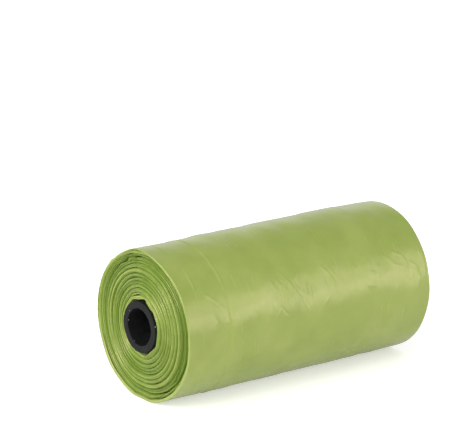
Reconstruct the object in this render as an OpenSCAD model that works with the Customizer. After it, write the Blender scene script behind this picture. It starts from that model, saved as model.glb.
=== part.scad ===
// A roll of small refuse bags: one long strip of folded green film, wound on a black plastic core.
// The roll lies on its side. X runs along the roll, Z is up, and the origin is the centre of the core's bore.

/* [Roll] */
// Diameter over the outermost turn
roll_d = 31; // [27:0.5:38]
// Width of the folded bags, which is the length of the wound film
film_w = 61; // [45:1:80]
// Width of the flat spot that the soft roll rests on
flat_w = 5; // [3:0.5:8]

/* [Core] */
// Outside diameter of the core
core_d = 10.5; // [9:0.25:14]
// Bore of the core
bore_d = 7.6; // [5:0.2:8]
// How far the core stands out of the film at each end
core_stand = 1.1; // [0.5:0.1:3]
// Broken edge round each cut end of the core
core_edge = 0.2; // [0.1:0.05:0.4]

/* [Turns] */
// Turns that show on the end faces, each a bunch of windings
turns = 14; // [10:1:16]
// Thickness of the folded film where it lies singly, in the outermost turns
film_t = 0.22; // [0.15:0.01:0.35]
// Air between one turn and the next
turn_gap = 0.08; // [0.06:0.01:0.12]
// How far the middle of a turn's edge stands proud of its two sides
crest = 0.3; // [0.1:0.05:0.5]
// How far the film wandered sideways while it was wound
wander = 0.45; // [0:0.05:0.8]
// How far the innermost turns have slid along the core, out of the near end
slide = 0.5; // [0:0.1:0.8]
// Depth of the valley near the rim of both ends, where the film was folded narrower
valley = 0.6; // [0:0.1:0.9]
// Distance from the rim to the middle of that valley
valley_in = 2; // [1.5:0.25:4]

/* [Loose end] */
// Angle of the loose end round the back of the roll, above the level of the bore
tail_a = 45; // [-20:5:75]
// Length of the stretch that lifts off the roll
tail_len = 7; // [5:1:15]
// How far the very end lifts off
tail_lift = 0.3; // [0.2:0.1:1.5]

/* [Hidden] */

roll_r = roll_d / 2;
core_r = core_d / 2;
bore_r = bore_d / 2;
core_len = film_w + 2 * core_stand;

// The innermost turn lies this far off the core where it comes closest.
seat_gap = 0.05;
first_r = core_r + seat_gap;

// The last few turns are single film. The others are thick bunches that share what is left.
thin_turns = 3;
thin_pitch = film_t + turn_gap;
bunches = turns + 1 - thin_turns;
bunch_build = roll_r + turn_gap - first_r - thin_turns * thin_pitch;

// Bunches are uneven: a golden-angle sine gives each its own share. The strip starts as single film.
uneven = 0.24;
start_share = 0.35;
function share(n) = n == 1 ? start_share : 1 + uneven * sin(137.5 * n);
function shares(n) = n <= 0 ? 0 : share(n) + shares(n - 1);

// Radius of the inner face of turn n where that turn begins
function mark(n) = n <= bunches
    ? first_r + bunch_build * shares(n) / shares(bunches)
    : first_r + bunch_build + (n - bunches) * thin_pitch;

// The same radius anywhere along the strip, at a winding angle a counted from the inner end
function wound_r(a) =
    let (n = floor(a / 360), part = a / 360 - n)
    mark(n) * (1 - part) + mark(n + 1) * part;

// Stations round one turn, and along the whole strip
steps = 60;
step_a = 360 / steps;
last = turns * steps;
strip_a = turns * 360;

// What the innermost turns do fades outwards, to nothing at this distance from the first one.
fade_depth = 3;
function fade(r) = pow(max(0, 1 - (r - first_r) / fade_depth), 2);

// The innermost turns keep the creases of the first bend, so their hole has flat sides.
hole_sides = 7;
side_a = 360 / hole_sides;
function crease(r, dir) =
    let (off = dir - side_a * floor(dir / side_a) - side_a / 2)
    first_r * (1 / cos(off) - 1) * fade(r);

// The last stretch of the strip lifts off the roll.
tail_sweep = tail_len / roll_r * 180 / PI;
function lift(a) =
    let (part = max(0, (a - strip_a) / tail_sweep + 1))
    tail_lift * part * part;

// Radius of the outermost turn at its lowest point, and height of the bore above the flat spot
rest_r = roll_r - thin_pitch * (90 + tail_a) / 360;
rest_h = sqrt(rest_r * rest_r - flat_w * flat_w / 4);

// The weight of the roll presses its underside flat. The turns above give way less and less.
function give(r) = r > rest_r - film_t / 2
    ? r - rest_h
    : (rest_r - rest_h) * pow(max(0, r - first_r) / (rest_r - first_r), 2);

// A point of the cross-section, from a radius and the winding angle
function section_point(r, a) =
    let (dir = a + tail_a,
         placed = r + crease(r, dir) + lift(a))
    [placed * cos(dir), max(give(r) - r, placed * sin(dir))];

// Half the width of the valley, where it has lost two thirds of its depth
valley_half = 1.2;

// How far the film's edge lies inside the full width: as it wandered, and in the bell-shaped valley
function edge_in(r, a, phase) =
    wander * (0.5 + 0.3 * sin(0.31 * a + phase) + 0.2 * sin(1.13 * a + 2 * phase))
    + valley * exp(-pow((roll_r - valley_in - r) / valley_half, 2));

// One ring of the strip: its inner face, its two crested edges and its outer face
function ring(a) =
    let (inner = wound_r(a),
         outer = wound_r(a + 360) - turn_gap,
         p = section_point(inner, a),
         q = section_point(outer, a),
         m = (p + q) / 2,
         slope = min(crest, (outer - inner) / 2),
         middle_r = (inner + outer) / 2,
         slid = slide * fade(middle_r),
         far = film_w / 2 - edge_in(middle_r, a, 40) - slid,
         near = -film_w / 2 + edge_in(middle_r, a, 200) - slid)
    [
        [far - slope, p[0], p[1]],
        [near + slope, p[0], p[1]],
        [near, m[0], m[1]],
        [near + slope, q[0], q[1]],
        [far - slope, q[0], q[1]],
        [far, m[0], m[1]],
    ];

// Corners in one ring
corners = 6;

// The two triangles between corner j of ring i and the next corner and ring
function panel(i, j) =
    let (k = (j + 1) % corners,
         here = i * corners,
         next = here + corners)
    [[here + j, here + k, next + k], [here + j, next + k, next + j]];

module wound_bags() {
    rings = [for (i = [0 : last]) ring(i * step_a)];
    color("yellowgreen")
        polyhedron(
            points = [for (r = rings) each r],
            faces = [
                [for (j = [corners - 1 : -1 : 0]) j],
                for (i = [0 : last - 1], j = [0 : corners - 1]) each panel(i, j),
                [for (j = [0 : corners - 1]) last * corners + j],
            ],
            convexity = 2 * turns
        );
}

// Wall of the core, drawn as a half section with both cut edges broken at each end
module core_wall() {
    wall = core_r - bore_r;
    half = core_len / 2;
    edge = min(core_edge, wall / 3);
    polygon([
        [bore_r, -half + edge],
        [bore_r + edge, -half],
        [core_r - edge, -half],
        [core_r, -half + edge],
        [core_r, half - edge],
        [core_r - edge, half],
        [bore_r + edge, half],
        [bore_r, half - edge],
    ]);
}

module core_tube() {
    color("dimgray")
        rotate([0, 90, 0])
            rotate_extrude($fn = 96)
                core_wall();
}

core_tube();
wound_bags();
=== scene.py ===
import bmesh
import bpy
import numpy as np
from mathutils import Matrix, Vector


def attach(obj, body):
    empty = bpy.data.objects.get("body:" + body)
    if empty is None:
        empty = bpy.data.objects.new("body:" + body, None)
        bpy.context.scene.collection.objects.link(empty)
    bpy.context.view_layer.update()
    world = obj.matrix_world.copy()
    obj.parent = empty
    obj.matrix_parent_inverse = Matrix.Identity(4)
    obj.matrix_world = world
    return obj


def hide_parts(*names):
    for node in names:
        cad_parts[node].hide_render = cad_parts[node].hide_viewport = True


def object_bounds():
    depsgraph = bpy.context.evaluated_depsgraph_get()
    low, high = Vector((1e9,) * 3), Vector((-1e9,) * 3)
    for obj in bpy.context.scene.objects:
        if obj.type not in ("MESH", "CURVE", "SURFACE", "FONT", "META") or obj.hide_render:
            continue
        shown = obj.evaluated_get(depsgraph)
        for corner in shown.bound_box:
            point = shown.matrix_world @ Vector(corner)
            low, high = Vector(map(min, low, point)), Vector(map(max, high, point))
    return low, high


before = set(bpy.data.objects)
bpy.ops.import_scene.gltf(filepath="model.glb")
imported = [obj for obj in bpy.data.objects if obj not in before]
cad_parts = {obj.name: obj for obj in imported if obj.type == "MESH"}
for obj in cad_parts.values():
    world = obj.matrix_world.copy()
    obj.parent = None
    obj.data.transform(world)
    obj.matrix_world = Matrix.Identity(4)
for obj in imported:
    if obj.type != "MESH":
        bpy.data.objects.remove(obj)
boundsAtLoad = [list(corner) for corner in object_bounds()]
print("frame loaded:", sorted(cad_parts))

mm = 0.001
boreHeight = round(-boundsAtLoad[0][2] / mm, 4)  # from the table up to the middle of the bore
coreHalf = round(boundsAtLoad[1][0] / mm, 4)  # half the length of the core
fineSamples = 4000  # points on a line that spacedBy thins out
anyPhase = 6.28  # random phases of the windings' edges and of the core lie between 0 and this, in radians

scene = bpy.context.scene
scene.view_settings.view_transform = "Standard"


# Small tools

def smoothStep(t):
    # 0 below 0, 1 above 1, and 3t^2 - 2t^3 between them
    t = np.clip(t, 0.0, 1.0)
    return t * t * (3.0 - 2.0 * t)


def angleAway(direction, middle):
    # signed angle in degrees from middle to direction, always between -180 and 180
    return (direction - middle + 180.0) % 360.0 - 180.0


def bell(distance, width):
    # exp(-(distance / width)^2)
    return np.exp(-(distance / width) ** 2)


def bellRound(direction, middle, half):
    # the same bell over the angle between a direction and a middle one
    return bell(angleAway(direction, middle), half)


def ripples(seed, count, lows, highs, *axes):
    # sum of sines over the given axes: each wave has a seeded frequency per axis and a seeded phase,
    # and the sum is divided by the square root of the count, so it stays near -1 to 1
    draw = np.random.default_rng(seed)
    total = 0.0
    for _ in range(count):
        phase = draw.uniform(0.0, 2.0 * np.pi)
        for axis, low, high in zip(axes, lows, highs):
            phase = phase + axis * draw.uniform(low, high) * draw.choice((-1.0, 1.0))
        total = total + np.sin(phase)
    return total / np.sqrt(count)


def spacedBy(place, density, count):
    # places with the same share of the density's running sum between each two neighbours
    steps = 0.5 * (density[1:] + density[:-1]) * np.diff(place)
    run = np.concatenate([[0.0], np.cumsum(steps)])
    return np.interp(np.linspace(0.0, run[-1], count), run, place)


def gridSurface(name, points, capEnds=True):
    # points has the shape (rows, columns, 3): each cell of the grid becomes a quad, the last column
    # joins the first, and where capEnds is set the first and last rows are closed by one face each
    rows, columns = points.shape[:2]
    i, j = np.meshgrid(np.arange(rows - 1), np.arange(columns), indexing="ij")
    k = (j + 1) % columns
    here, ahead = i * columns, (i + 1) * columns
    quads = np.stack([here + j, here + k, ahead + k, ahead + j], axis=-1)
    faces = quads.reshape(-1, 4).tolist()
    if capEnds:
        faces.append(list(range(columns - 1, -1, -1)))
        faces.append(list(range((rows - 1) * columns, rows * columns)))
    mesh = bpy.data.meshes.new(name)
    mesh.from_pydata((points.reshape(-1, 3) * mm).tolist(), [], faces)
    mesh.polygons.foreach_set("use_smooth", np.ones(len(faces), dtype=bool))
    mesh.update()
    mesh.validate()
    piece = bpy.data.objects.new(name, mesh)
    scene.collection.objects.link(piece)
    return piece


def tidyMesh(piece, weld=0.0):
    # points closer than weld, in metres, become one, and every face is turned outwards
    work = bmesh.new()
    work.from_mesh(piece.data)
    if weld:
        bmesh.ops.remove_doubles(work, verts=work.verts, dist=weld)
    bmesh.ops.recalc_face_normals(work, faces=work.faces)
    work.to_mesh(piece.data)
    work.free()


# The camera, in the photograph's frame

photoCamera = {
    "place": (-418.08, -519.53, 226.00),
    "yaw": 38.1454,  # how far the view turns from the roll's cross direction towards its length
    "pitch": 17.4745,  # how far it looks down
    "roll": 1.3895,
    "lens": 275.45,
    "sensor": 36.0,
    "clip": (0.01, 20.0),  # metres
}


def addCamera(c):
    # the view direction comes from yaw and pitch, and the picture's right and up are turned by roll
    yaw, pitch, roll = (np.radians(c[key]) for key in ("yaw", "pitch", "roll"))
    ahead = np.array([np.cos(pitch) * np.sin(yaw), np.cos(pitch) * np.cos(yaw), -np.sin(pitch)])
    right = np.array([np.cos(yaw), -np.sin(yaw), 0.0])
    up = np.cross(right, ahead)
    turnedRight = np.cos(roll) * right + np.sin(roll) * up
    turnedUp = np.cos(roll) * up - np.sin(roll) * right
    lens = bpy.data.cameras.new("photoCamera")
    lens.lens = c["lens"]
    lens.sensor_width = c["sensor"]
    lens.clip_start, lens.clip_end = c["clip"]
    camera = bpy.data.objects.new("photoCamera", lens)
    axes = np.column_stack([turnedRight, turnedUp, -ahead])
    place = Matrix.Translation(Vector(c["place"]) * mm)
    camera.matrix_world = place @ Matrix(axes.tolist()).to_4x4()
    scene.collection.objects.link(camera)
    scene.camera = camera


addCamera(photoCamera)
print("camera placed")


# Helpers for the materials' nodes

def newMaterial(name):
    material = bpy.data.materials.new(name)
    material.use_nodes = True
    nodes, links = material.node_tree.nodes, material.node_tree.links
    nodes.clear()
    output = nodes.new("ShaderNodeOutputMaterial")
    shader = nodes.new("ShaderNodeBsdfPrincipled")
    links.new(shader.outputs["BSDF"], output.inputs["Surface"])
    return material, nodes, links, shader


def objectPlace(nodes, links, stretch=(1.0, 1.0, 1.0)):
    # Object coordinates in millimetres, stretched per axis
    place = nodes.new("ShaderNodeTexCoord")
    scale = nodes.new("ShaderNodeMapping")
    scale.inputs["Scale"].default_value = tuple(1000.0 * s for s in stretch)
    links.new(place.outputs["Object"], scale.inputs["Vector"])
    return scale.outputs["Vector"]


def noiseAt(nodes, links, place, scale, detail, rough):
    # scale is in waves per millimetre, detail in octaves, and rough is the strength of the finer ones
    noise = nodes.new("ShaderNodeTexNoise")
    noise.inputs["Scale"].default_value = scale
    noise.inputs["Detail"].default_value = detail
    noise.inputs["Roughness"].default_value = rough
    links.new(place, noise.inputs["Vector"])
    return noise.outputs["Fac"]


def rampBetween(nodes, links, factor, positions, colours):
    ramp = nodes.new("ShaderNodeValToRGB")
    elements = ramp.color_ramp.elements
    while len(elements) < len(positions):
        elements.new(0.5)
    for element, position, colour in zip(elements, positions, colours):
        element.position = position
        element.color = (*colour, 1.0)
    links.new(factor, ramp.inputs["Fac"])
    return ramp.outputs["Color"]


def bumpFrom(nodes, links, height, strength, depth):
    bump = nodes.new("ShaderNodeBump")
    bump.inputs["Strength"].default_value = strength
    bump.inputs["Distance"].default_value = depth * mm
    links.new(height, bump.inputs["Height"])
    return bump.outputs["Normal"]


def mathNode(nodes, links, operation, first, second=None):
    # each input is another node's output or a plain number
    node = nodes.new("ShaderNodeMath")
    node.operation = operation
    for socket, value in zip(node.inputs, (first, second)):
        if isinstance(value, (int, float)):
            socket.default_value = value
        elif value is not None:
            links.new(value, socket)
    return node.outputs[0]


def grey(value):
    return (value, value, value)


def greys(values):
    return [grey(value) for value in values]


def setGloss(shader, look):
    # level and tint of what the surface mirrors, as constants on the sockets
    shader.inputs["Specular IOR Level"].default_value = look["specular"]
    shader.inputs["Specular Tint"].default_value = (*look["glint"], 1.0)


# The three finishes. Each noise is given as waves per millimetre, octaves and the strength of the finer ones,
# and each bump as its strength and its depth.

filmLook = {
    "tones": [(0.233, 0.300, 0.066), (0.262, 0.329, 0.079), (0.294, 0.352, 0.097)],
    "toneStops": (0.30, 0.52, 0.75),  # values of the mottling at which the tones lie
    "mottle": (0.11, 4.0, 0.55),
    "streaks": (1.0, 1.0, 0.5),
    "streakStretch": (1.2, 0.12, 0.12),  # narrow along the roll and long round it
    "streakStops": (0.25, 0.75),
    "satin": (0.20, 0.28),  # roughness at those two stops
    "specular": 0.55,
    "glint": (1.0, 0.73, 0.57),  # tint of what the film mirrors
    "grain": (2.4, 4.0, 0.6),
    "grainBump": (0.25, 0.02),
}

edgeLook = {
    # the deep tone is mostly painted shade in the grooves and furrows
    "tones": [(0.110, 0.195, 0.016), (0.195, 0.286, 0.046), (0.340, 0.405, 0.100)],
    "toneStops": (0.10, 0.46, 0.85),
    "mottle": (0.5, 4.0, 0.6),
    "mottleShare": 0.45,  # how much the mottling adds to the tone that each winding carries
    "roughness": 0.24,
    "specular": 1.0,
    "glint": (1.0, 0.74, 0.54),
    "grain": (5.0, 3.0, 0.6),
    "grainBump": (0.3, 0.02),
}

coreLook = {
    "tones": [(0.006, 0.007, 0.0065), (0.014, 0.0155, 0.0145)],
    "toneStops": (0.3, 0.7),
    "mottle": (1.1, 5.0, 0.65),
    # the pale specks on the cut are painted glints on its burrs
    "burrGlint": (0.60, 0.62, 0.58),
    "speckCells": 1.5,  # cells per millimetre, each of which may hold one speck
    "speckChance": 0.84,  # a cell has a speck where its random value lies above this
    "speckReach": 0.22,  # the speck's radius as a share of its cell
    "speckSolid": 0.6,  # the share of that radius inside which it is fully pale
    "cutFrom": 31.35,  # specks lie beyond this x, on the cut face and its edge
    "satinStops": (0.2, 0.8),
    "satin": (0.50, 0.70),
    "specular": 0.16,
    "glint": (1.0, 1.0, 1.0),
    "pits": (3.0, 5.0, 0.7),
    "pitBump": (0.5, 0.06),
}


def makeFilm(look):
    # satin film: soft mottling in the colour, streaks round the roll in the roughness, fine grain in the bump
    material, nodes, links, shader = newMaterial("bagFilm")
    place = objectPlace(nodes, links)
    mottle = noiseAt(nodes, links, place, *look["mottle"])
    colour = rampBetween(nodes, links, mottle, look["toneStops"], look["tones"])
    links.new(colour, shader.inputs["Base Color"])
    streaks = noiseAt(nodes, links, objectPlace(nodes, links, look["streakStretch"]), *look["streaks"])
    rough = rampBetween(nodes, links, streaks, look["streakStops"], greys(look["satin"]))
    links.new(rough, shader.inputs["Roughness"])
    setGloss(shader, look)
    grain = noiseAt(nodes, links, place, *look["grain"])
    links.new(bumpFrom(nodes, links, grain, *look["grainBump"]), shader.inputs["Normal"])
    return material


def makeFilmEdges(look):
    # film seen edge on: each winding's tone from the piece's own attribute, which carries painted shade in
    # the grooves and furrows and a little painted highlight at the rim, mottled, with fine grain
    material, nodes, links, shader = newMaterial("bagFilmEdges")
    tone = nodes.new("ShaderNodeAttribute")
    tone.attribute_name = "toneWithPaintedLight"
    place = objectPlace(nodes, links)
    mottle = noiseAt(nodes, links, place, *look["mottle"])
    mottled = mathNode(nodes, links, "MULTIPLY", mottle, look["mottleShare"])
    mixed = mathNode(nodes, links, "ADD", mottled, tone.outputs["Fac"])
    colour = rampBetween(nodes, links, mixed, look["toneStops"], look["tones"])
    links.new(colour, shader.inputs["Base Color"])
    shader.inputs["Roughness"].default_value = look["roughness"]
    setGloss(shader, look)
    grain = noiseAt(nodes, links, place, *look["grain"])
    links.new(bumpFrom(nodes, links, grain, *look["grainBump"]), shader.inputs["Normal"])
    return material


def makeCorePlastic(look):
    # recycled black plastic: mottled, finely pitted, with a few pale specks on the cut faces, which are
    # painted glints on its burrs
    material, nodes, links, shader = newMaterial("corePlastic")
    place = objectPlace(nodes, links)
    mottle = noiseAt(nodes, links, place, *look["mottle"])
    colour = rampBetween(nodes, links, mottle, look["toneStops"], look["tones"])
    cells = nodes.new("ShaderNodeTexVoronoi")
    cells.inputs["Scale"].default_value = look["speckCells"]
    links.new(place, cells.inputs["Vector"])
    reach = look["speckReach"]
    rings = (look["speckSolid"] * reach, reach)
    burrGlint = rampBetween(nodes, links, cells.outputs["Distance"], rings, greys((1.0, 0.0)))
    chance = nodes.new("ShaderNodeSeparateColor")
    links.new(cells.outputs["Color"], chance.inputs["Color"])
    axes = nodes.new("ShaderNodeSeparateXYZ")
    links.new(place, axes.inputs["Vector"])
    farOut = mathNode(nodes, links, "ABSOLUTE", axes.outputs["X"])
    onCut = mathNode(nodes, links, "GREATER_THAN", farOut, look["cutFrom"])
    picked = mathNode(nodes, links, "GREATER_THAN", chance.outputs["Red"], look["speckChance"])
    pickedOnCut = mathNode(nodes, links, "MULTIPLY", onCut, picked)
    mix = nodes.new("ShaderNodeMix")
    mix.data_type = "RGBA"
    mix.inputs["B"].default_value = (*look["burrGlint"], 1.0)
    links.new(mathNode(nodes, links, "MULTIPLY", pickedOnCut, burrGlint), mix.inputs["Factor"])
    links.new(colour, mix.inputs["A"])
    links.new(mix.outputs["Result"], shader.inputs["Base Color"])
    rough = rampBetween(nodes, links, mottle, look["satinStops"], greys(look["satin"]))
    links.new(rough, shader.inputs["Roughness"])
    setGloss(shader, look)
    pits = noiseAt(nodes, links, place, *look["pits"])
    links.new(bumpFrom(nodes, links, pits, *look["pitBump"]), shader.inputs["Normal"])
    return material


bagFilm = makeFilm(filmLook)
bagFilmEdges = makeFilmEdges(edgeLook)
corePlastic = makeCorePlastic(coreLook)
print("materials made")


# The wound film

filmRoll = {
    "firstRadius": 5.33,  # inner face of the first winding
    "outerRadius": 15.5,  # over the very last winding
    "pitch": 0.15,  # one winding and the air under it
    "thick": 0.135,  # one winding of folded film
    "skinTurns": 1.03,  # how much of the strip's end is the separate skin
    "tailDirection": 45.0,
    "tailLength": 7.0,
    "tailLift": 0.05,
    "restHeight": boreHeight,  # from the bore down to the table
    "flatWidth": 5.0,  # of the spot that the underside is pressed flat on
    # profile of the winding edges at both ends, before grooves and unevenness: radius, x
    "nearEdge": [
        (5.3, -31.25), (6.0, -31.12), (7.3, -31.05), (10.8, -30.98), (12.0, -30.75),
        (12.8, -30.42), (13.5, -30.14), (13.8, -30.14), (14.5, -30.52), (15.5, -30.74),
    ],
    "farEdge": [
        (5.3, 29.95), (6.0, 30.20), (7.3, 30.42), (12.2, 30.48), (13.5, 29.95), (14.3, 30.30), (15.5, 30.55),
    ],
    # grooves between two bunches of windings: radius, how much wider the gap is there, depth at the ends
    "grooves": [
        (6.20, 0.12, 0.30), (7.20, 0.13, 0.36), (8.10, 0.13, 0.34), (8.75, 0.08, 0.22),
        (9.40, 0.15, 0.44), (10.35, 0.12, 0.34), (11.30, 0.15, 0.44), (12.30, 0.14, 0.42),
        (12.85, 0.08, 0.24), (13.50, 0.22, 0.46), (14.40, 0.14, 0.36), (15.05, 0.05, 0.10),
    ],
    "grooveStep": 0.18,  # part of a turn over which a gap opens
    "grooveFall": (0.87, 1.3),  # a and b in exp(-a n^b), the share of the depth at the nth winding
    "grooveClimb": 0.2,  # part of a turn over which n climbs by one
    "deeperAt": (335.0, 50.0, 0.55),  # grooves inside the rim: direction, half width, how much deeper
    "shallowerAt": [(245.0, 28.0, 0.35), (62.0, 22.0, 0.30)],  # all grooves, with how much shallower
    "rimGrooves": (14.1, 0.5),  # radius beyond which they are shallower all round, and by how much
    "rimGrooveFades": (0.5, 0.4),  # depth over which the deeper ones end at that radius, and this begins
    # corners that the innermost windings keep: direction, height, half width
    "corners": [
        (61, 0.30, 12), (100, 0.62, 20), (134, 0.26, 13), (208, 0.30, 16),
        (256, 0.62, 24), (312, 0.26, 16), (8, 0.30, 16),
    ],
    "cornerReach": 2.6,  # how far out from the first winding they fade to nothing
    "cornerShape": 1.3,  # power of their slopes
    # windings lifted by a wad of film on top: direction, half width, height
    "lifted": (78.0, 19.0, 0.62),
    "liftFrom": (0.42, 0.16),  # how far off the first winding this starts, and the depth over which it grows
    "liftFade": (6.0, 1.7),  # radius from which it fades, and how slowly
    # crumple below the rim near the top: direction, half width, radius, reach, height
    "crumple": (62.0, 17.0, 13.5, 0.75, 0.20),
    "crumpleWaves": (21.0, 2.1),  # waves round the roll, and radians per millimetre outwards
    "crumpledEdge": (62.0, 16.0, 13.6, 0.70),  # where that crumple pulls the edges in
    "crumpledBack": (0.30, 0.18),  # how far, and how much this varies
    "crumpledWaves": (24.0, 3.0),
    # the middle windings are taller than wide: size, then radius and fade at the inner and the outer limit
    "taller": 0.20,
    "tallerInside": (6.0, 1.5),
    "tallerOutside": (14.6, 2.4),
    # soft lumps: waves round the roll, then the a and b of their phase a n^2 + b radius
    "lumps": (3, 4, 5, 7),
    "lumpPhase": (1.7, 0.25),
    # slow ones: seed, number of sines, least and most radians per radian round and per millimetre outwards
    "slowLumps": (11, 7, (0.0, 0.1), (0.0, 0.5)),
    "lumpSizes": (0.035, 0.01),  # of both kinds
    "lumpFade": 2.0,  # depth over which both fade towards the rim
    # top of the far end, squashed a little: direction, half width, depth
    "squash": (92.0, 48.0, 0.42),
    "squashFrom": (4.0, 11.0),  # radius from which it grows, and over what depth
    "squashSpread": (0.25, 15.0),  # share of the squash that goes sideways, at this radius
    # how far the near rim is bent in over the end: direction, width
    "hood": [
        (0, 0.52), (50, 0.44), (70, 0.24), (90, 0.26), (100, 0.50), (116, 0.86), (132, 1.04),
        (175, 1.08), (205, 1.00), (226, 0.76), (246, 0.52), (300, 0.54), (360, 0.52),
    ],
    "hoodWaves": [(9.0, 0.05), (23.0, 0.03)],  # waves round its edge, and their share of the width
    "hoodRoom": (0.02, 0.24),  # a and b in a w + b w^2, how far the windings below lie back
    # furrows in the near end that cross the windings: direction, radius and share of the depth at each point
    "furrows": [
        {
            "points": [
                (88, 15.1, 0.0), (98, 14.8, 0.8), (116, 14.3, 1.0), (136, 14.05, 1.0), (180, 13.95, 1.0),
                (205, 14.05, 1.0), (226, 14.5, 0.9), (244, 15.0, 0.7), (256, 15.2, 0.0),
            ],
            "depth": 1.5,
            "half": 0.40,
        },
        {
            "points": [
                (140, 12.6, 0.0), (156, 12.6, 0.9), (198, 12.65, 1.0), (215, 12.95, 1.0),
                (235, 13.65, 1.0), (255, 14.45, 1.0), (268, 14.9, 0.5), (276, 15.1, 0.0),
            ],
            "depth": 0.40,
            "half": 0.16,
        },
    ],
    # slow wander of the edges: waves round the roll, radians per turn, size
    "edgeWaves": [(1, 0.55, 0.05), (2, 0.35, 0.045), (3, 0.8, 0.03), (5, 1.3, 0.022), (8, 2.1, 0.016)],
    # unevenness from one winding to the next: number of sines, least and most radians per half turn, size
    "singles": (5, (1.2,), (3.0,)),
    "singleSize": 0.035,
    # fine crimps: waves round the roll and radians per turn, then their size, with more at some directions
    "crimpWaves": [(47, 0.9), (61, -1.4), (83, 2.2)],
    "crimpSize": 0.012,
    "crimpLeast": 0.35,
    "crimpedAt": [(330.0, 45.0, 0.65), (175.0, 30.0, 0.5)],
    "crimpFrom": (6.0, 3.0),  # radius from which they grow, and over what depth
}


def grooveTurns(f):
    # the turn at which each gap opens: (groove radius - first radius - gaps before it) / pitch
    radii, gaps, _ = np.array(f["grooves"]).T
    return (radii - f["firstRadius"] - np.cumsum(gaps) + gaps) / f["pitch"]


def lastTurn(f):
    # the turn count at which the outer face reaches the roll's outer radius
    gaps = sum(gap for _, gap, _ in f["grooves"])
    return (f["outerRadius"] - f["thick"] - f["firstRadius"] - gaps) / f["pitch"]


def directionOf(f, turn):
    # the strip's direction at a turn count, so that it ends at the tail's direction
    return (360.0 * (turn - lastTurn(f)) + f["tailDirection"]) % 360.0


def plainRadius(f, turn):
    # first radius + pitch x turn + each gap once its groove has opened
    radius = f["firstRadius"] + f["pitch"] * turn
    for opens, (_, gap, _) in zip(grooveTurns(f), f["grooves"]):
        radius = radius + gap * smoothStep((turn - opens) / f["grooveStep"])
    return radius


def cornerShift(f, radius, direction):
    # each corner is height x (1 - angle away / half width)^1.3, and fades by (1 - depth / reach)^2 outwards
    fade = np.clip(1.0 - (radius - f["firstRadius"]) / f["cornerReach"], 0.0, 1.0) ** 2
    shift = 0.0
    for middle, height, half in f["corners"]:
        away = np.abs(angleAway(direction, middle)) / half
        shift = shift + height * fade * np.clip(1.0 - away, 0.0, 1.0) ** f["cornerShape"]
    return shift


def windingShift(f, radius, direction):
    # how far a winding lies off its plain radius: corners next to the core, a bell over the wad on top that
    # fades outwards, a rippled bell near the rim, -0.2 cos 2a in the middle windings, and soft lumps
    angle = np.radians(direction)
    shift = cornerShift(f, radius, direction)
    middle, half, height = f["lifted"]
    start, grows = f["liftFrom"]
    level, slow = f["liftFade"]
    over = smoothStep((radius - f["firstRadius"] - start) / grows)
    fade = np.exp(-np.clip(radius - level, 0.0, None) / slow)
    shift = shift + height * over * bellRound(direction, middle, half) * fade
    middle, half, level, reach, height = f["crumple"]
    wavesRound, outwards = f["crumpleWaves"]
    crumple = bellRound(direction, middle, half) * bell(radius - level, reach)
    shift = shift + crumple * height * np.sin(angle * wavesRound + outwards * radius)
    inside, insideFade = f["tallerInside"]
    outside, outsideFade = f["tallerOutside"]
    taller = smoothStep((radius - inside) / insideFade) * smoothStep((outside - radius) / outsideFade)
    shift = shift - f["taller"] * taller * np.cos(2.0 * angle)
    rim = np.clip((f["outerRadius"] - radius) / f["lumpFade"], 0.0, 1.0)
    a, b = f["lumpPhase"]
    lumps = sum(np.sin(k * angle + a * k * k + b * radius) / k for k in f["lumps"])
    lumpSize, slowSize = f["lumpSizes"]
    return shift + rim * (lumpSize * lumps + slowSize * ripples(*f["slowLumps"], angle, radius))


def tailRise(f, turn):
    # the last stretch of the strip lifts off the roll with the square of the way along it
    stretch = f["tailLength"] / (2.0 * np.pi * f["outerRadius"])
    return f["tailLift"] * np.clip((turn - lastTurn(f)) / stretch + 1.0, 0.0, None) ** 2


def pressedPoint(f, x, radius, direction, squashAt):
    # from x, radius and direction to x, y, z: the underside is pressed flat on the table, the turns above it
    # give way by the square of their depth, and where squashAt is 1 a bell is taken off the top. Zero times y
    # spreads x to y's shape.
    restRadius = np.sqrt(f["restHeight"] ** 2 + f["flatWidth"] ** 2 / 4.0)
    depth = np.clip(radius - f["firstRadius"], 0.0, None) / (restRadius - f["firstRadius"])
    give = (restRadius - f["restHeight"]) * depth ** 2
    y = radius * np.cos(np.radians(direction))
    z = radius * np.sin(np.radians(direction))
    z = np.maximum(z, np.maximum(give - radius, -f["restHeight"]))
    middle, half, most = f["squash"]
    start, grows = f["squashFrom"]
    spread, spreadAt = f["squashSpread"]
    squash = most * squashAt * bellRound(direction, middle, half) * smoothStep((radius - start) / grows)
    return np.stack([x + 0.0 * y, y * (1.0 + spread * squash / spreadAt), z - squash], axis=-1)


def grooveShares(f, turn):
    # how much of each groove's depth reaches a winding: exp(-0.87 n^1.3) at the nth winding from the groove,
    # where n climbs from one whole number to the next over the last fifth of a turn
    fall, power = f["grooveFall"]
    climb = f["grooveClimb"]
    shares = []
    for opens in grooveTurns(f):
        away = np.abs(turn - opens - 0.5 * f["grooveStep"])
        rank = np.floor(away) + smoothStep((away - np.floor(away) - (1.0 - climb)) / climb)
        shares.append(np.exp(-fall * rank ** power))
    return shares


def sidePull(f, radius, direction):
    # share of a groove's depth: 1 + 0.55 x a bell low at the back that ends at the rim, - 0.5 beyond the
    # rim's radius, - 0.35 x a bell low in front, - 0.30 x a bell near the top
    rimRadius, rimLess = f["rimGrooves"]
    ends, begins = f["rimGrooveFades"]
    middle, half, more = f["deeperAt"]
    pull = more * bellRound(direction, middle, half) * smoothStep((rimRadius - radius) / ends)
    pull = 1.0 + (pull - rimLess * smoothStep((radius - rimRadius) / begins))
    for middle, half, less in f["shallowerAt"]:
        pull = pull - less * bellRound(direction, middle, half)
    return pull


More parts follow.
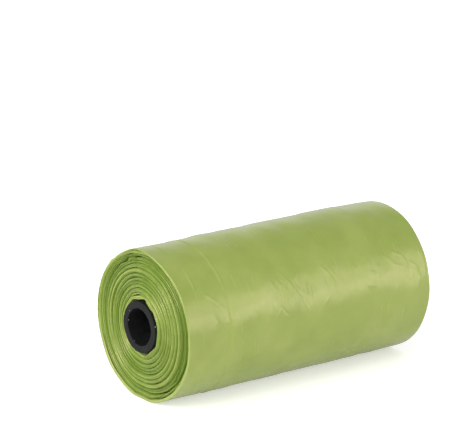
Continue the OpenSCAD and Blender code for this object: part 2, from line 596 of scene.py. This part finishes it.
def hoodWidth(f, direction):
    # straight lines between the listed widths, times 1 + small waves round the roll
    places, widths = np.array(f["hood"], dtype=float).T
    waves = 1.0
    for count, share in f["hoodWaves"]:
        waves = waves + share * np.sin(count * np.radians(direction))
    return np.interp(direction, places, widths) * waves


def hoodRoom(f, direction):
    # how far the windings under the hood lie back: 0.02 w + 0.24 w^2 for its width w
    width = hoodWidth(f, direction)
    plain, squared = f["hoodRoom"]
    return plain * width + squared * width ** 2


def furrowDepth(f, radius, direction):
    # depth x share x exp(-((radius - the furrow's radius there) / half width)^2), for each furrow
    total = 0.0
    for furrow in f["furrows"]:
        places, radii, shares = np.array(furrow["points"], dtype=float).T
        unrolled = places[0] + (direction - places[0]) % 360.0
        share = np.interp(unrolled, places, shares)
        middle = np.interp(unrolled, places, radii)
        total = total + furrow["depth"] * share * bell(radius - middle, furrow["half"])
    return total


def edgeRecess(f, turn, radius, direction, seed):
    # how far a winding's edge lies behind the plain profile: each groove's depth x its share here, which
    # makes every bunch a rounded rib, + slow sines round and along the strip, + single windings, + fine
    # crimps, + a rippled bell at the crumple
    recess = sum(depth * share for (_, _, depth), share in zip(f["grooves"], grooveShares(f, turn)))
    recess = recess * sidePull(f, radius, direction)
    angle = np.radians(direction)
    draw = np.random.default_rng(seed)
    for k, m, size in f["edgeWaves"]:
        recess = recess + size * np.sin(k * angle + m * turn + draw.uniform(0.0, anyPhase))
    recess = recess + f["singleSize"] * ripples(seed + 1, *f["singles"], turn * 2.0)
    crimped = f["crimpLeast"]
    for middle, half, more in f["crimpedAt"]:
        crimped = crimped + more * bellRound(direction, middle, half)
    start, grows = f["crimpFrom"]
    for k, m in f["crimpWaves"]:
        wave = np.sin(k * angle + m * turn + draw.uniform(0.0, anyPhase))
        recess = recess + f["crimpSize"] * crimped * wave * smoothStep((radius - start) / grows)
    middle, half, level, reach = f["crumpledEdge"]
    wavesRound, outwards = f["crumpledWaves"]
    back, varies = f["crumpledBack"]
    crumple = bellRound(direction, middle, half) * bell(radius - level, reach)
    return recess + crumple * (back + varies * np.sin(wavesRound * angle + outwards * radius))


turnsDetail = {
    "stations": 9400,  # rings along the strip, the same length of film apart
    "fill": 0.92,  # the most that a winding may take of the room up to the next one
    "startTurn": 0.05,  # part of a turn over which the strip grows from half its thickness
    # the wad on top, thick film in one winding: direction, half width, off the first winding, reach, fill
    "wad": (78.0, 24.0, 0.36, 0.09, 0.75),
    # profile of an edge: places across the film, and how far each lies behind the crest, in corner drops
    "across": (0.0, 0.30, 0.60, 1.0),
    "behind": (1.0, 0.3, 0.0, 0.85),
    "cornerDrop": 0.06,
    "hoodFrom": (14.0, 0.6),  # radius from which windings make room for the hood, and over what depth
    "nearSeed": 21,
    "farSeed": 57,
    # how pale the edges are: plain, from winding to winding, painted shade in grooves, a painted highlight at
    # the rim, painted shade in furrows
    "tone": 0.36,
    "toneVaries": 0.14,
    "toneRipples": (5, 6, (1.0,), (4.0,)),  # seed, number of sines, least and most radians per step
    "tonePace": 3.1,  # steps in a turn
    "grooveShade": 0.46,
    "rimHighlight": 0.04,
    "rimHighlightFrom": (14.2, 0.4),  # radius from which it grows, and over what depth
    "furrowShade": 0.45,
}


def makeTurns(f, d):
    # a closed profile of eight points, carried along the spiral: inner corner, two crests and outer corner at
    # each end. The outer face follows the next winding's inner face, or the film's own thickness in a groove.
    fine = np.linspace(0.0, lastTurn(f) - f["skinTurns"], fineSamples)
    turn = spacedBy(fine, plainRadius(f, fine), d["stations"])
    direction = directionOf(f, turn)
    plain, plainNext = plainRadius(f, turn), plainRadius(f, turn + 1.0)
    inner = plain + windingShift(f, plain, direction)
    above = plainNext + windingShift(f, plainNext, direction)
    middle, half, level, reach, wadFill = d["wad"]
    wad = wadFill * bellRound(direction, middle, half) * bell(plain - f["firstRadius"] - level, reach)
    thick = np.minimum(d["fill"] * (above - inner), f["thick"] + wad * (above - inner))
    thick = thick * (smoothStep(turn / d["startTurn"]) * 0.5 + 0.5)
    drop = d["cornerDrop"] * np.array(d["behind"])
    radius = inner[:, None] + thick[:, None] * np.array(d["across"])
    level, grows = d["hoodFrom"]
    hooded = hoodRoom(f, direction) * smoothStep((plain - level) / grows)
    near = np.interp(plain, *np.array(f["nearEdge"]).T) + edgeRecess(f, turn, plain, direction, d["nearSeed"])
    near = near + furrowDepth(f, plain, direction) + hooded
    far = np.interp(plain, *np.array(f["farEdge"]).T) - edgeRecess(f, turn, plain, direction, d["farSeed"])
    around = direction[:, None] + 0.0 * radius
    nearRing = pressedPoint(f, near[:, None] + drop, radius, around, 0.0)
    farRing = pressedPoint(f, far[:, None] - drop, radius, around, 1.0)
    points = np.concatenate([nearRing, farRing[:, ::-1]], axis=1)
    piece = gridSurface("wound_turns", points)
    # each winding's tone, with painted shade in grooves and furrows and a little painted highlight at the rim
    tones = np.repeat(tonesWithPaintedLight(f, d, turn, plain, direction), points.shape[1])
    attribute = piece.data.attributes.new("toneWithPaintedLight", "FLOAT", "POINT")
    attribute.data.foreach_set("value", tones.astype(np.float32))
    return piece


def tonesWithPaintedLight(f, d, turn, radius, direction):
    # plain tone + seeded sines along the strip - painted shade in a groove + a little painted highlight at
    # the rim - painted shade in a furrow
    tone = d["tone"] + d["toneVaries"] * ripples(*d["toneRipples"], turn * d["tonePace"])
    inGroove = np.minimum(1.0, sum(grooveShares(f, turn)))
    tone = tone - d["grooveShade"] * inGroove * sidePull(f, radius, direction)
    level, grows = d["rimHighlightFrom"]
    tone = tone + d["rimHighlight"] * smoothStep((radius - level) / grows)
    return tone - d["furrowShade"] * np.minimum(1.0, furrowDepth(f, radius, direction))


skinDetail = {
    "stations": 232,
    "columns": 372,
    "thick": 0.13,
    "under": 0.06,  # how far the inner face lies below the winding's own inner radius
    "least": (0.02, 0.04),  # the least thickness, and how softly the relief comes down to it
    "nearX": -30.60,
    "farX": 30.55,
    # where stations and columns lie closer: middle, half width, how much denser
    "denseRound": [(156.0, 24.0, 1.5)],
    "denseAlong": [(0.5, 8.5, 1.6), (26.5, 5.5, 1.6), (-24.0, 5.0, 1.0)],
    "denseEnds": (3.0, 0.5),  # how much denser at both ends, and the reach of this
    "innerX": (22.0, 0.0, -16.0, -25.0, -28.5),  # columns of the inner face, between its ends
    "endGap": 0.12,  # how far the inner face ends inside the outer one
    # both ends wander along the roll: waves round it, phase, size, and the reach of it from an end
    "endWaves": [(2.0, 0.8, 0.10), (5.0, 2.0, 0.05), (11.0, 1.0, 0.03)],
    "endWaveReach": 6.0,
    "squashFrom": (16.0, 15.0),  # x from which the top is squashed, and over what length it grows
    # rounding and curl of both ends: size, reach along the roll. The rounding is a share of the thickness.
    "rounding": 0.55,
    "roundReach": (0.16, 0.20),  # near end, far end
    "nearCurl": (0.10, 0.9),
    "farCurl": (0.16, 1.1),
    "hoodCurl": (0.16, 0.7),  # a share of the hood's width
    # the hood's inner and outer face, from the rim to its edge and back, as shares of its width
    "inward": (0.35, 0.75, 1.0),
    "outward": (1.0, 0.96, 0.88, 0.76, 0.64, 0.54, 0.48, 0.44, 0.40, 0.36, 0.32, 0.24, 0.16, 0.07),
    "hoodBow": (0.34, 2.2),  # a and b in a w s^b, how far along the roll the hood bows at share s of width w
    "hoodLip": (0.03, 0.05),  # how far its face stands off, and over what share at its edge this ends
    "hoodDent": (0.10, 0.42, 0.06),  # dent along it where it is wide: depth, share of the width, half width
    "hoodDentFrom": (0.6, 0.3),  # width from which the dent grows, and over what
    "hoodRipple": (0.018, 31.0, 4.0),  # size, waves round the roll, radians across
    # where the rim of the near end has come loose: direction, half width, lift, reach along the roll
    "loose": (80.0, 13.0, 0.36, 5.0),
    # fold edges of the film below: x, step up towards the middle, height of the ridge, width
    "folds": [(-27.0, 0.10, 0.085, 0.17), (-20.3, 0.11, 0.085, 0.17)],
    "foldWander": 0.12,
    "ridgeWidth": 1.3,  # times the step's width
    # creases: x and direction of both ends, half width, height
    "creases": [
        (-6.4, 139, -5.2, 146, 0.22, 0.068), (-5.2, 146, -3.9, 154, 0.22, 0.095),
        (-3.9, 154, -1.9, 166, 0.22, 0.086), (-1.9, 166, -0.4, 176, 0.20, 0.064),
        (-4.9, 147, -4.4, 152, 0.18, 0.068), (-4.4, 152, -3.6, 161, 0.18, 0.061),
        (-3.6, 161, -3.6, 171, 0.20, 0.052), (-5.7, 152, -5.6, 166, 0.21, 0.052),
        (-7.4, 145, -6.7, 150, 0.16, 0.052), (-0.5, 150, -0.6, 162, 0.16, 0.095),
        (0.35, 149, 0, 166, 0.20, -0.068), (3.8, 141, 5.4, 149, 0.26, 0.095),
        (5.4, 149, 6.3, 156, 0.26, 0.103), (6.3, 156, 6.7, 163, 0.28, 0.086),
        (4.2, 149, 4.6, 160, 0.24, -0.061), (5.6, 142, 6.9, 152, 0.18, 0.061),
        (7.6, 152, 9, 164, 0.34, 0.047), (11.2, 152, 11.5, 166, 0.34, 0.052),
        (4.7, 165, 2.9, 171, 0.16, 0.061), (2.9, 171, 1.3, 175, 0.16, 0.043),
        (22.2, 143, 24.6, 147, 0.26, 0.103), (24.6, 147, 25.3, 154, 0.27, 0.111),
        (25.3, 154, 25, 162, 0.31, 0.077), (21.5, 152, 25.1, 157, 0.26, 0.068),
        (26.1, 153, 27.7, 158, 0.24, 0.103), (27.7, 158, 28.2, 165, 0.24, 0.111),
        (28.2, 165, 27, 175, 0.28, 0.068), (26.3, 160, 26.9, 169, 0.26, -0.068),
        (29.7, 149, 29.8, 158, 0.27, 0.086), (29.8, 158, 29.6, 168, 0.28, 0.068),
        (19.6, 142, 23, 156, 0.41, 0.052), (-13.2, 148, -13.1, 163, 0.30, 0.052),
        (-15.9, 146, -15, 160, 0.34, 0.039), (-10.2, 150, -9.8, 166, 0.41, 0.034),
        (-25.4, 143, -22.6, 152, 0.30, 0.068), (-22.6, 152, -21.2, 158, 0.34, 0.047),
        (-24.6, 156, -22.6, 166, 0.45, 0.043), (14.6, 148, 15.6, 168, 0.41, 0.039),
        (17.6, 150, 18.6, 170, 0.41, 0.039), (-0.9, 189, 0.1, 187, 0.14, -0.061),
        (-27, 178, -10, 190, 0.67, 0.025), (-10, 190, 5, 202, 0.67, 0.022),
    ],
    # small random creases: wrinkles all round, then puckers in front, where the film was gripped. Each value
    # is drawn between two limits, but for the lean, which has a mean and a spread in radians, and the sign.
    "random": [
        {
            "seed": 404, "count": 110, "x": (-29.0, 29.0), "direction": (0.0, 360.0), "length": (1.2, 4.5),
            "lean": (0.0, 0.35), "half": (0.45, 1.0), "height": (0.005, 0.016), "signs": (-1.0, 1.0),
        },
        {
            "seed": 77, "count": 60, "x": (-28.0, 30.0), "direction": (143.0, 172.0), "length": (0.6, 1.8),
            "lean": (0.25, 0.5), "half": (0.20, 0.36), "height": (0.030, 0.070), "signs": (-1.0, 1.0, 1.0),
        },
    ],
    # soft waves: radians per millimetre along the roll, waves round it, phase, size
    "waves": [
        (0.42, 5, 0.4, 0.030), (0.71, 8, 2.0, 0.022), (0.95, 3, 4.1, 0.020),
        (1.35, 11, 1.2, 0.012), (0.23, 9, 5.0, 0.026),
    ],
    "crossWaves": (0.6, 1.13),  # those that lean the other way: share of the size, and of the first value
    "waveFade": (30.6, 3.0, 0.3),  # they fade by a smooth step of (a - |x|) / b + c
}


def creaseHeight(x, arc, x1, arc1, x2, arc2, width, height):
    # height x exp(-(distance to the segment / width)^2), faded past both of its ends by a smooth step of
    # 1.6 x (0.75 - the distance from its middle, as a share of its length)
    dx, da = x2 - x1, arc2 - arc1
    along = ((x - x1) * dx + (arc - arc1) * da) / (dx * dx + da * da)
    held = np.clip(along, 0.0, 1.0)
    distance = np.hypot(x - x1 - held * dx, arc - arc1 - held * da)
    taper = smoothStep(1.6 * np.clip(0.5 - np.abs(along - 0.5) + 0.25, 0.0, 1.0))
    return height * bell(distance, width) * taper


def randomCreases(r, scale, x, direction):
    # each crease runs both ways from a seeded middle by its length, at its lean from the way round the roll
    draw = np.random.default_rng(r["seed"])
    height = 0.0
    for _ in range(r["count"]):
        middleX, middleD = draw.uniform(*r["x"]), draw.uniform(*r["direction"])
        length, lean = draw.uniform(*r["length"]), draw.normal(*r["lean"])
        width, size = draw.uniform(*r["half"]), draw.uniform(*r["height"]) * draw.choice(r["signs"])
        arc = angleAway(direction, middleD) * scale
        dx, da = length * np.sin(lean), length * np.cos(lean)
        height = height + creaseHeight(x, arc, middleX - dx, -da, middleX + dx, da, width, size)
    return height


def skinHeight(f, s, x, direction):
    # relief of the outermost film: fold edges as tanh steps with a bell on each, creases, random creases, and
    # sums of sines that fade at both ends
    scale = np.radians(1.0) * f["outerRadius"]
    angle = np.radians(direction)
    height = 0.0
    for foldX, step, ridge, width in s["folds"]:
        past = x - foldX - s["foldWander"] * np.sin(angle * 2.0 + foldX)
        height = height + step * (0.5 + 0.5 * np.tanh(past / width)) - step
        height = height + ridge * bell(past, s["ridgeWidth"] * width)
    arc = angleAway(direction, 180.0) * scale
    for x1, d1, x2, d2, width, size in s["creases"]:
        arc1, arc2 = (d1 - 180.0) * scale, (d2 - 180.0) * scale
        height = height + creaseHeight(x, arc, x1, arc1, x2, arc2, width, size)
    for r in s["random"]:
        height = height + randomCreases(r, scale, x, direction)
    waves = 0.0
    share, pace = s["crossWaves"]
    for kx, ka, phase, size in s["waves"]:
        waves = waves + size * np.sin(kx * x + ka * angle + phase)
        waves = waves + share * size * np.sin(pace * kx * x - ka * angle + 2.0 * phase)
    a, b, c = s["waveFade"]
    return height + waves * smoothStep((a - np.abs(x)) / b + c)


def skinStations(f, s):
    # turn counts of the stations, closer where denseRound says
    end = lastTurn(f)
    fine = np.linspace(end - f["skinTurns"], end, fineSamples)
    directions = directionOf(f, fine)
    density = sum(more * bellRound(directions, middle, half) for middle, half, more in s["denseRound"])
    return spacedBy(fine, 1.0 + density, s["stations"])


def skinColumns(s):
    # x of the outer face's columns, closer where denseAlong says and at both ends
    fine = np.linspace(s["nearX"], s["farX"], fineSamples)
    density = sum(more * bell(fine - middle, half) for middle, half, more in s["denseAlong"])
    more, reach = s["denseEnds"]
    density = density + more * np.exp(-(fine - s["nearX"]) / reach)
    density = density + more * np.exp(-(s["farX"] - fine) / reach)
    return spacedBy(fine, 1.0 + density, s["columns"])


def makeSkin(f, s):
    # the last turn of film as a closed shell: fine columns on its outer face, a few on its inner face,
    # stations along the spiral, rounded edges that curl in at both ends, and the hood over the near end
    turn = skinStations(f, s)
    direction = directionOf(f, turn)
    plain = plainRadius(f, turn)
    inner = (plain + windingShift(f, plain, direction) + tailRise(f, turn))[:, None]
    around = direction[:, None]
    angle = np.radians(around)
    wander = sum(size * np.sin(count * angle + phase) for count, phase, size in s["endWaves"])

    def fromNear(x, reach):
        return np.exp(-(x - s["nearX"]) / reach)

    def fromFar(x, reach):
        return np.exp(-(s["farX"] - x) / reach)

    def placed(x, radius):
        # both ends wander along the roll, and the near rim stands off where it has come loose
        middle, half, lift, reach = s["loose"]
        rise = lift * bellRound(around, middle, half) * fromNear(x, reach)
        moved = x + wander * (fromNear(x, s["endWaveReach"]) - fromFar(x, s["endWaveReach"]))
        start, grows = s["squashFrom"]
        squashAt = smoothStep((moved - start) / grows)
        return pressedPoint(f, moved, radius + rise, around + 0.0 * moved, squashAt)

    # the outer face, which stays clear of the inner one by a soft least thickness
    x = skinColumns(s)[None, :]
    hood = hoodWidth(f, around)
    nearRound, farRound = s["roundReach"]
    rounded = fromNear(x, nearRound) + fromFar(x, farRound)
    nearSize, nearReach = s["nearCurl"]
    farSize, farReach = s["farCurl"]
    hoodSize, hoodReach = s["hoodCurl"]
    curl = nearSize * fromNear(x, nearReach) + farSize * fromFar(x, farReach)
    curl = curl + hoodSize * hood * fromNear(x, hoodReach)
    outer = inner + s["thick"] * (1.0 - s["rounding"] * rounded) - curl + skinHeight(f, s, x, around)
    least, soft = s["least"]
    above = outer - inner - least
    outer = inner + least + 0.5 * (above + np.sqrt(above ** 2 + soft ** 2))
    outerPoints = placed(x, outer)

    # the inner face, from the far end to the near one
    farInside, nearInside = s["farX"] - s["endGap"], s["nearX"] + s["endGap"]
    innerX = np.array([farInside, *s["innerX"], nearInside])[None, :]
    innerPoints = placed(innerX, inner - s["under"])

    # the hood: its inner face from the rim to its edge, then its outer face back to the rim
    bow, power = s["hoodBow"]
    inward = np.array(s["inward"])
    under = placed(nearInside + bow * hood * inward ** power, inner - s["under"] - hood * inward)
    outward = np.array(s["outward"])
    dent, dentAt, dentHalf = s["hoodDent"]
    dentFrom, dentGrows = s["hoodDentFrom"]
    dented = dent * smoothStep((hood - dentFrom) / dentGrows) * bell(outward - dentAt, dentHalf)
    size, count, across = s["hoodRipple"]
    ripple = size * hood * np.sin(count * angle + across * outward)
    lip, lipReach = s["hoodLip"]
    faceX = s["nearX"] + bow * hood * outward ** power + lip * bell(outward - 1.0, lipReach)
    faceX = faceX + dented + ripple * outward
    face = placed(faceX - lip, outer[:, :1] - least - hood * outward)
    return gridSurface("outer_film", np.concatenate([outerPoints, innerPoints, under, face], axis=1))


woundTurns = makeTurns(filmRoll, turnsDetail)
woundTurns.data.materials.append(bagFilmEdges)
tidyMesh(woundTurns)
print("turns made:", len(woundTurns.data.polygons), "faces,", round(lastTurn(filmRoll), 2), "windings")
outerFilm = makeSkin(filmRoll, skinDetail)
outerFilm.data.materials.append(bagFilm)
tidyMesh(outerFilm)
print("outer film made:", len(outerFilm.data.polygons), "faces")


# The core

coreTube = {
    "outer": 5.25,
    "bore": 3.8,
    "halfLength": coreHalf,
    "around": 240,  # stations round it
    "weld": 1e-7,  # metres
    # distances from the cut at which the walls have a ring, and places across the cut face
    "inset": (30.0, 5.0, 1.2, 0.5, 0.22, 0.09, 0.02),
    "across": (0.03, 0.10, 0.22, 0.36, 0.50, 0.64, 0.78, 0.90, 0.97),
    "cutSeeds": (3, 8),  # near end, far end
    # waves here are a number of sines, then the least count of each round the core and one above the most
    "rough": 0.049,  # how uneven the cut is
    "roughWaves": (4, 1, 6),
    # chips in the edges: depth, level that the waves must pass, waves at the outer edge and at the bore's
    "chip": 0.16,
    "chipAbove": 0.5,
    "chipWaves": (7, 11, 43),
    "boreWaves": (7, 9, 37),
    "plainLip": 0.02,  # rounding of an edge with no chip, and how far from the cut it reaches
    "lipReach": 0.15,
    "hump": 0.03,  # how far the middle of the cut face stands out
    "humpWave": (0.006, 5.0, 9.0),  # size, waves round the core, radians across
}


def makeCore(c):
    # a closed wall profile turned about the roll's axis. The cut ends waver with sums of sines of the angle,
    # and the corners are broken by chips that come and go round the edge.
    angle = np.linspace(0.0, 2.0 * np.pi, c["around"], endpoint=False)[:, None]
    inset, across = np.array(c["inset"]), np.array(c["across"])

    def uneven(seed, count, low, high):
        draw = np.random.default_rng(seed)
        total = 0.0
        for _ in range(count):
            total = total + np.sin(draw.integers(low, high) * angle + draw.uniform(0.0, anyPhase))
        return total / np.sqrt(count)

    def chipped(seed, waves):
        return c["plainLip"] + c["chip"] * np.clip(uneven(seed, *waves) - c["chipAbove"], 0.0, None)

    def ring(x, radius):
        return np.stack([x + 0.0 * radius, radius + 0.0 * x, angle + 0.0 * x + 0.0 * radius], axis=-1)

    cuts, outerSides, innerSides = [], [], []
    for seed, sign in zip(c["cutSeeds"], (-1.0, 1.0)):
        edge = c["halfLength"] + c["rough"] * uneven(seed, *c["roughWaves"])
        lip = chipped(seed + 2, c["chipWaves"])
        boreLip = chipped(seed + 4, c["boreWaves"])
        radius = c["bore"] + boreLip + (c["outer"] - c["bore"] - lip - boreLip) * across
        size, count, outwards = c["humpWave"]
        hump = c["hump"] * np.sin(np.pi * across) + size * np.sin(count * angle + outwards * across)
        near = np.exp(-inset / c["lipReach"])
        cuts.append(ring(sign * (edge + hump), radius))
        outerSides.append(ring(sign * (edge - inset), c["outer"] - lip * near))
        innerSides.append(ring(sign * (edge - inset), c["bore"] + boreLip * near))
    loop = np.concatenate([
        cuts[0], outerSides[0][:, ::-1], outerSides[1],
        cuts[1][:, ::-1], innerSides[1][:, ::-1], innerSides[0],
    ], axis=1)
    x, radius, turned = loop[..., 0], loop[..., 1], loop[..., 2]
    points = np.stack([x, radius * np.cos(turned), radius * np.sin(turned)], axis=-1)
    # the first station comes again at the end, and tidyMesh welds the two
    points = np.concatenate([points, points[:1]], axis=0)
    return gridSurface("core_pipe", points, capEnds=False)


corePipe = makeCore(coreTube)
corePipe.data.materials.append(corePlastic)
tidyMesh(corePipe, coreTube["weld"])
print("core made:", len(corePipe.data.polygons), "faces")


# Every piece rides on the root body, in the place of its plain node

placing = (
    (woundTurns, "wound_bags", "bag_film"),
    (outerFilm, "wound_bags", "bag_film"),
    (corePipe, "core_tube", "core_plastic"),
)
for piece, node, slotName in placing:
    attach(piece, "root")
    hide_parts(node)
print("pieces ride on root")


# Table, light and surroundings

studio = {
    "tableHeight": -boreHeight,
    "tableSize": 3000.0,
    "tableColour": 0.85,
    "tableMirrored": 0.58,  # its colour where the film mirrors it
    "tableRoughness": 0.9,
    "tableSpecular": 0.1,
    "tableLit": 0.22,  # light that it gives off in every ray, which softly lights the roll's underside
    "tableGlow": 0.21,  # light added to that for the camera
    "around": 0.77,  # even light from the surroundings
    "horizon": 1.0,  # what glossy film mirrors at eye height
    "ceiling": 0.12,  # what it mirrors from above
    "mirroredFrom": (0.30, 0.72),  # heights of a direction between which one passes into the other
    # softboxes: place, width and height, watts
    "softboxes": {
        "front": ((620, -820, 400), (700, 460), 2.0),
        "frontLow": ((640, -860, 60), (800, 400), 2.6),
        "top": ((-150, 250, 1000), (500, 500), 0.5),
        "left": ((-900, -60, 430), (640, 600), 9.0),
    },
}


def seenRays(nodes, links, path):
    # 1 in rays from the camera and through clear things, 0 in others
    camera, through = path.outputs["Is Camera Ray"], path.outputs["Is Transmission Ray"]
    return mathNode(nodes, links, "MAXIMUM", camera, through)


def makeTable(s):
    # one large square, with a tone of its own where the film mirrors it. It gives off tableLit in every ray
    # and tableGlow more to the camera, so to the camera it is white but for the roll's shade.
    half = s["tableSize"] / 2.0
    corners = np.array([(-half, -half), (half, -half), (half, half), (-half, half)])
    points = np.column_stack([corners, np.full(4, s["tableHeight"])]) * mm
    mesh = bpy.data.meshes.new("table")
    mesh.from_pydata(points.tolist(), [], [[0, 1, 2, 3]])
    table = bpy.data.objects.new("table", mesh)
    scene.collection.objects.link(table)
    material, nodes, links, shader = newMaterial("tableWhite")
    shader.inputs["Roughness"].default_value = s["tableRoughness"]
    shader.inputs["Specular IOR Level"].default_value = s["tableSpecular"]
    path = nodes.new("ShaderNodeLightPath")
    tones = greys((s["tableColour"], s["tableMirrored"]))
    shade = rampBetween(nodes, links, path.outputs["Is Glossy Ray"], (0.0, 1.0), tones)
    links.new(shade, shader.inputs["Base Color"])
    seen = seenRays(nodes, links, path)
    glow = mathNode(nodes, links, "MULTIPLY", seen, s["tableGlow"])
    shader.inputs["Emission Color"].default_value = (1.0, 1.0, 1.0, 1.0)
    links.new(mathNode(nodes, links, "ADD", glow, s["tableLit"]), shader.inputs["Emission Strength"])
    mesh.materials.append(material)


def plainBackground(nodes, value):
    background = nodes.new("ShaderNodeBackground")
    background.inputs["Color"].default_value = (*grey(value), 1.0)
    return background


def mixedBy(nodes, links, factor, first, second):
    mix = nodes.new("ShaderNodeMixShader")
    links.new(factor, mix.inputs["Fac"])
    links.new(first, mix.inputs[1])
    links.new(second, mix.inputs[2])
    return mix.outputs["Shader"]


def makeWorld(s):
    # white to the camera, one plain grey where it lights the roll, and in mirrored rays bright at eye height
    # and dark overhead, as in a tent with an open top
    world = bpy.data.worlds.new("surroundings")
    scene.world = world
    world.use_nodes = True
    nodes, links = world.node_tree.nodes, world.node_tree.links
    nodes.clear()
    output = nodes.new("ShaderNodeOutputWorld")
    light = plainBackground(nodes, s["around"])
    white = plainBackground(nodes, 1.0)
    mirrored = nodes.new("ShaderNodeBackground")
    place = nodes.new("ShaderNodeTexCoord")
    parts = nodes.new("ShaderNodeSeparateXYZ")
    links.new(place.outputs["Generated"], parts.inputs["Vector"])
    tones = greys((s["horizon"], s["ceiling"]))
    shade = rampBetween(nodes, links, parts.outputs["Z"], s["mirroredFrom"], tones)
    links.new(shade, mirrored.inputs["Color"])
    path = nodes.new("ShaderNodeLightPath")
    glossy, seen = path.outputs["Is Glossy Ray"], seenRays(nodes, links, path)
    lighting = mixedBy(nodes, links, glossy, light.outputs["Background"], mirrored.outputs["Background"])
    links.new(mixedBy(nodes, links, seen, lighting, white.outputs["Background"]), output.inputs["Surface"])


def addSoftbox(name, place, size, power):
    # a rectangle that faces the middle of the roll
    lamp = bpy.data.lights.new(name, "AREA")
    lamp.shape = "RECTANGLE"
    lamp.size, lamp.size_y = (side * mm for side in size)
    lamp.energy = power
    holder = bpy.data.objects.new(name, lamp)
    holder.location = Vector(place) * mm
    holder.rotation_euler = (-holder.location).to_track_quat("-Z", "Y").to_euler()
    scene.collection.objects.link(holder)


makeTable(studio)
makeWorld(studio)
for name, (place, size, power) in studio["softboxes"].items():
    addSoftbox(name + "Softbox", place, size, power)
print("table, surroundings and lamps set")
